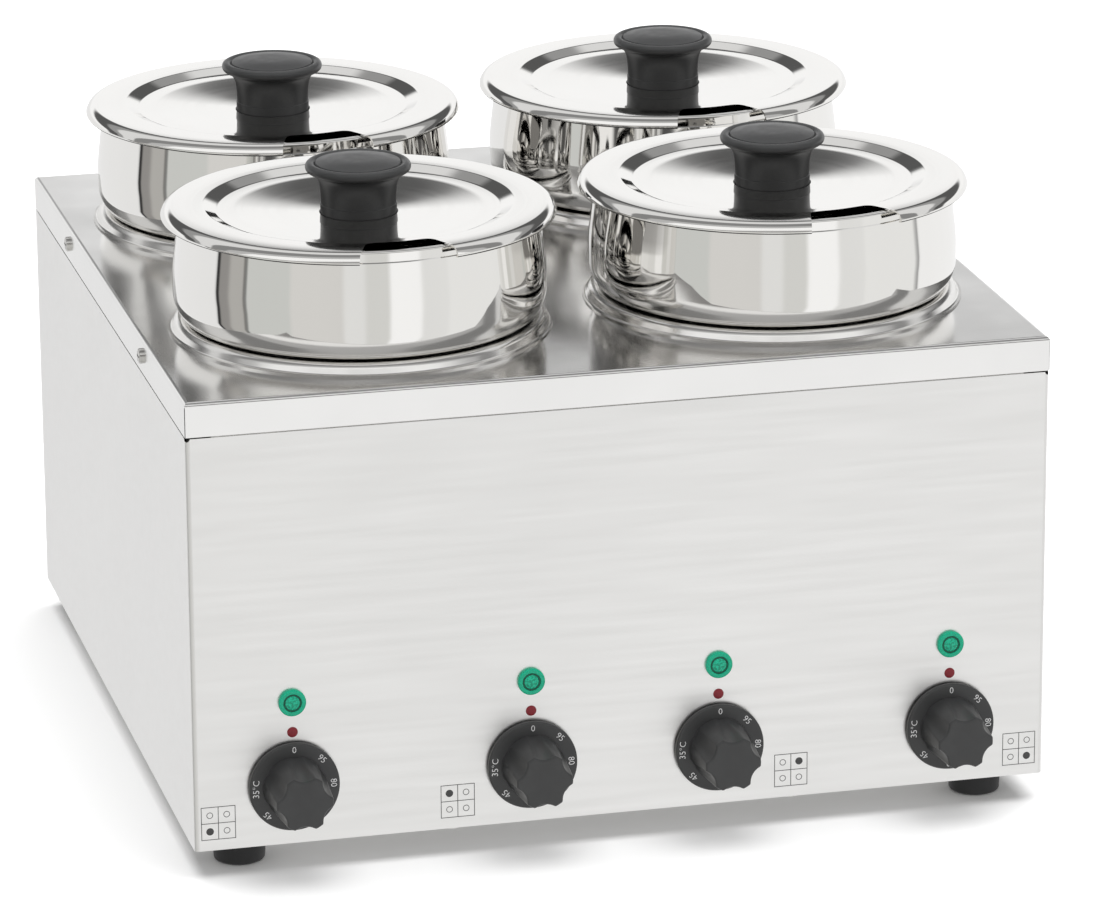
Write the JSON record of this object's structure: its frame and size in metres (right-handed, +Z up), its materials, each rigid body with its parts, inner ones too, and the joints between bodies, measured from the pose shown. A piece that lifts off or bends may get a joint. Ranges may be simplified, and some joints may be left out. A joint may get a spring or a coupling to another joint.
{
  "type": "bain marie",
  "caption": "Square steel counter-top bain marie: heated wells hold lift-out round pots with notched, knobbed lids; dials and lamps on the front.",
  "frame": {"origin": "on the table, under the middle of the whole object's box", "axes": "+X to the right as the user faces the controls, +Y away from the user, +Z up"},
  "size_m": [0.4036, 0.4456, 0.303],
  "materials": {
    "deck_steel": "satin sheet steel",
    "housing_steel": "satin sheet steel",
    "polished_steel": "mirror polished steel",
    "fastener_steel": "bright zinc",
    "inner_steel": "dull sheath and plate",
    "thermostat_steel": "plated case",
    "copper": "drawn copper",
    "rubber": "matt",
    "knob_plastic": "satin black",
    "green_lens": "clear green",
    "gland_plastic": "matt black",
    "white_plastic": "matt white"
  },
  "bodies": {
    "root": {"top_deck": "deck_steel", "housing_shell": "housing_steel", "rear_panel": "housing_steel", "bottom_plate": "housing_steel", "rubber_feet": "rubber", "foot_screws": "fastener_steel", "foot_nuts": "fastener_steel", "deck_screws": "fastener_steel", "rear_panel_screws": "fastener_steel", "bottom_plate_screws": "fastener_steel", "heater_clamps": "inner_steel", "heater_nuts": "fastener_steel", "thermostat_screws": "fastener_steel", "sensor_bulbs": "copper", "lamp_nuts": "fastener_steel", "cable_gland": "gland_plastic", "gland_dome_nut": "gland_plastic", "gland_lock_nut": "gland_plastic", "terminal_block": "white_plastic", "well_front_left": "polished_steel", "heating_element_front_left": "inner_steel", "thermostat_front_left": "thermostat_steel", "pilot_lamp_front_left": "green_lens", "well_back_left": "polished_steel", "heating_element_back_left": "inner_steel", "thermostat_back_left": "thermostat_steel", "pilot_lamp_back_left": "green_lens", "well_back_right": "polished_steel", "heating_element_back_right": "inner_steel", "thermostat_back_right": "thermostat_steel", "pilot_lamp_back_right": "green_lens", "well_front_right": "polished_steel", "heating_element_front_right": "inner_steel", "thermostat_front_right": "thermostat_steel", "pilot_lamp_front_right": "green_lens"},
    "pot_front_left": {"pot_front_left": "polished_steel"},
    "lid_front_left": {"lid_front_left": "polished_steel", "lid_knob_front_left": "knob_plastic", "lid_knob_screw_front_left": "fastener_steel"},
    "dial_front_left": {"dial_knob_front_left": "knob_plastic", "thermostat_shaft_front_left": "fastener_steel"},
    "pot_back_left": {"pot_back_left": "polished_steel"},
    "lid_back_left": {"lid_back_left": "polished_steel", "lid_knob_back_left": "knob_plastic", "lid_knob_screw_back_left": "fastener_steel"},
    "dial_back_left": {"dial_knob_back_left": "knob_plastic", "thermostat_shaft_back_left": "fastener_steel"},
    "pot_back_right": {"pot_back_right": "polished_steel"},
    "lid_back_right": {"lid_back_right": "polished_steel", "lid_knob_back_right": "knob_plastic", "lid_knob_screw_back_right": "fastener_steel"},
    "dial_back_right": {"dial_knob_back_right": "knob_plastic", "thermostat_shaft_back_right": "fastener_steel"},
    "pot_front_right": {"pot_front_right": "polished_steel"},
    "lid_front_right": {"lid_front_right": "polished_steel", "lid_knob_front_right": "knob_plastic", "lid_knob_screw_front_right": "fastener_steel"},
    "dial_front_right": {"dial_knob_front_right": "knob_plastic", "thermostat_shaft_front_right": "fastener_steel"}
  },
  "joints": [
    {"name": "pot_lift_front_left", "type": "slide", "parent": "root", "child": "pot_front_left", "axis": [0, 0, 1], "range_m": [0, 0.25]},
    {"name": "lid_lift_front_left", "type": "slide", "parent": "pot_front_left", "child": "lid_front_left", "axis": [0, 0, 1], "range_m": [0, 0.1]},
    {"name": "dial_turn_front_left", "type": "hinge", "parent": "root", "child": "dial_front_left", "pos_m": [-0.1543, -0.1972, 0.042], "axis": [0, 1, 0], "range_deg": [0, 315]},
    {"name": "pot_lift_back_left", "type": "slide", "parent": "root", "child": "pot_back_left", "axis": [0, 0, 1], "range_m": [0, 0.25]},
    {"name": "lid_lift_back_left", "type": "slide", "parent": "pot_back_left", "child": "lid_back_left", "axis": [0, 0, 1], "range_m": [0, 0.1]},
    {"name": "dial_turn_back_left", "type": "hinge", "parent": "root", "child": "dial_back_left", "pos_m": [-0.044, -0.1972, 0.042], "axis": [0, 1, 0], "range_deg": [0, 315]},
    {"name": "pot_lift_back_right", "type": "slide", "parent": "root", "child": "pot_back_right", "axis": [0, 0, 1], "range_m": [0, 0.25]},
    {"name": "lid_lift_back_right", "type": "slide", "parent": "pot_back_right", "child": "lid_back_right", "axis": [0, 0, 1], "range_m": [0, 0.1]},
    {"name": "dial_turn_back_right", "type": "hinge", "parent": "root", "child": "dial_back_right", "pos_m": [0.044, -0.1972, 0.042], "axis": [0, 1, 0], "range_deg": [0, 315]},
    {"name": "pot_lift_front_right", "type": "slide", "parent": "root", "child": "pot_front_right", "axis": [0, 0, 1], "range_m": [0, 0.25]},
    {"name": "lid_lift_front_right", "type": "slide", "parent": "pot_front_right", "child": "lid_front_right", "axis": [0, 0, 1], "range_m": [0, 0.1]},
    {"name": "dial_turn_front_right", "type": "hinge", "parent": "root", "child": "dial_front_right", "pos_m": [0.1543, -0.1972, 0.042], "axis": [0, 1, 0], "range_deg": [0, 315]}
  ]
}
